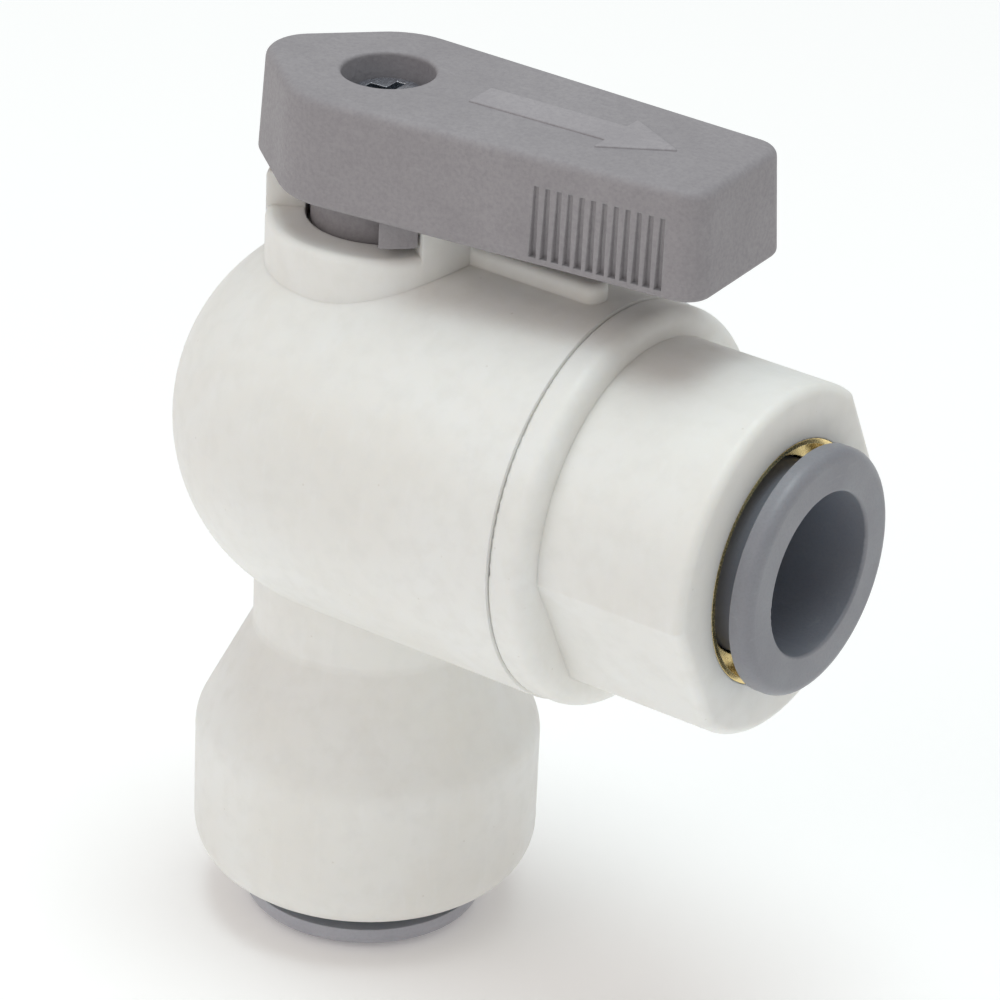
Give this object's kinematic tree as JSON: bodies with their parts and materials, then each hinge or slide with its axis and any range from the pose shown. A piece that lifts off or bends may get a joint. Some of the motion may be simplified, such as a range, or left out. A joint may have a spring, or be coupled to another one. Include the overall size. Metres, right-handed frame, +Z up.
{
  "type": "elbow ball valve",
  "caption": "Quarter-turn elbow ball valve: white polymer body, grey wedge lever on top, push-in tube ports with grey release collets at the side and below.",
  "frame": {"origin": "on the lower tube port's axis, level with the open face of its release collet", "axes": "+Z up along the lower port's axis and the stem, +X out of the side tube port"},
  "size_m": [0.0363, 0.0204, 0.0459],
  "materials": {
    "white_polymer": "fine moulded satin, off-white",
    "grey_lever": "fine textured mid grey",
    "grey_collet": "smooth mid grey",
    "brass": "turned",
    "nickel_brass": "nickel-plated, turned",
    "ball_steel": "polished",
    "stainless": "stamped",
    "zinc_screw": "bright zinc plating",
    "seal_rubber": "moulded",
    "white_seat": "waxy",
    "backing_polymer": "moulded"
  },
  "bodies": {
    "valve_frame": {"valve_body": "white_polymer", "end_fitting": "white_polymer", "end_fitting_oring": "seal_rubber", "seat_side": "white_seat", "seat_lower": "white_seat", "brass_sleeve_side": "brass", "brass_sleeve_lower": "brass", "grip_ring_side": "stainless", "grip_ring_lower": "stainless", "backing_ring_side": "backing_polymer", "backing_ring_lower": "backing_polymer", "tube_oring_side": "seal_rubber", "tube_oring_lower": "seal_rubber"},
    "lever_assembly": {"lever": "grey_lever", "stem": "nickel_brass", "stem_washer": "white_seat", "stem_oring_lower": "seal_rubber", "stem_oring_upper": "seal_rubber", "ball": "ball_steel", "lever_screw": "zinc_screw"},
    "collet_side": {"release_collet_side": "grey_collet"},
    "collet_lower": {"release_collet_lower": "grey_collet"}
  },
  "joints": [
    {"name": "lever_turn", "type": "hinge", "parent": "valve_frame", "child": "lever_assembly", "pos_m": [0, 0, 0.02735], "axis": [0, 0, 1], "range_deg": [-90, 0]},
    {"name": "collet_side_press", "type": "slide", "parent": "valve_frame", "child": "collet_side", "axis": [-1, 0, 0], "range_m": [0, 0.0009], "stiffness_N_per_m": 300},
    {"name": "collet_lower_press", "type": "slide", "parent": "valve_frame", "child": "collet_lower", "axis": [0, 0, 1], "range_m": [0, 0.0009], "stiffness_N_per_m": 300}
  ]
}
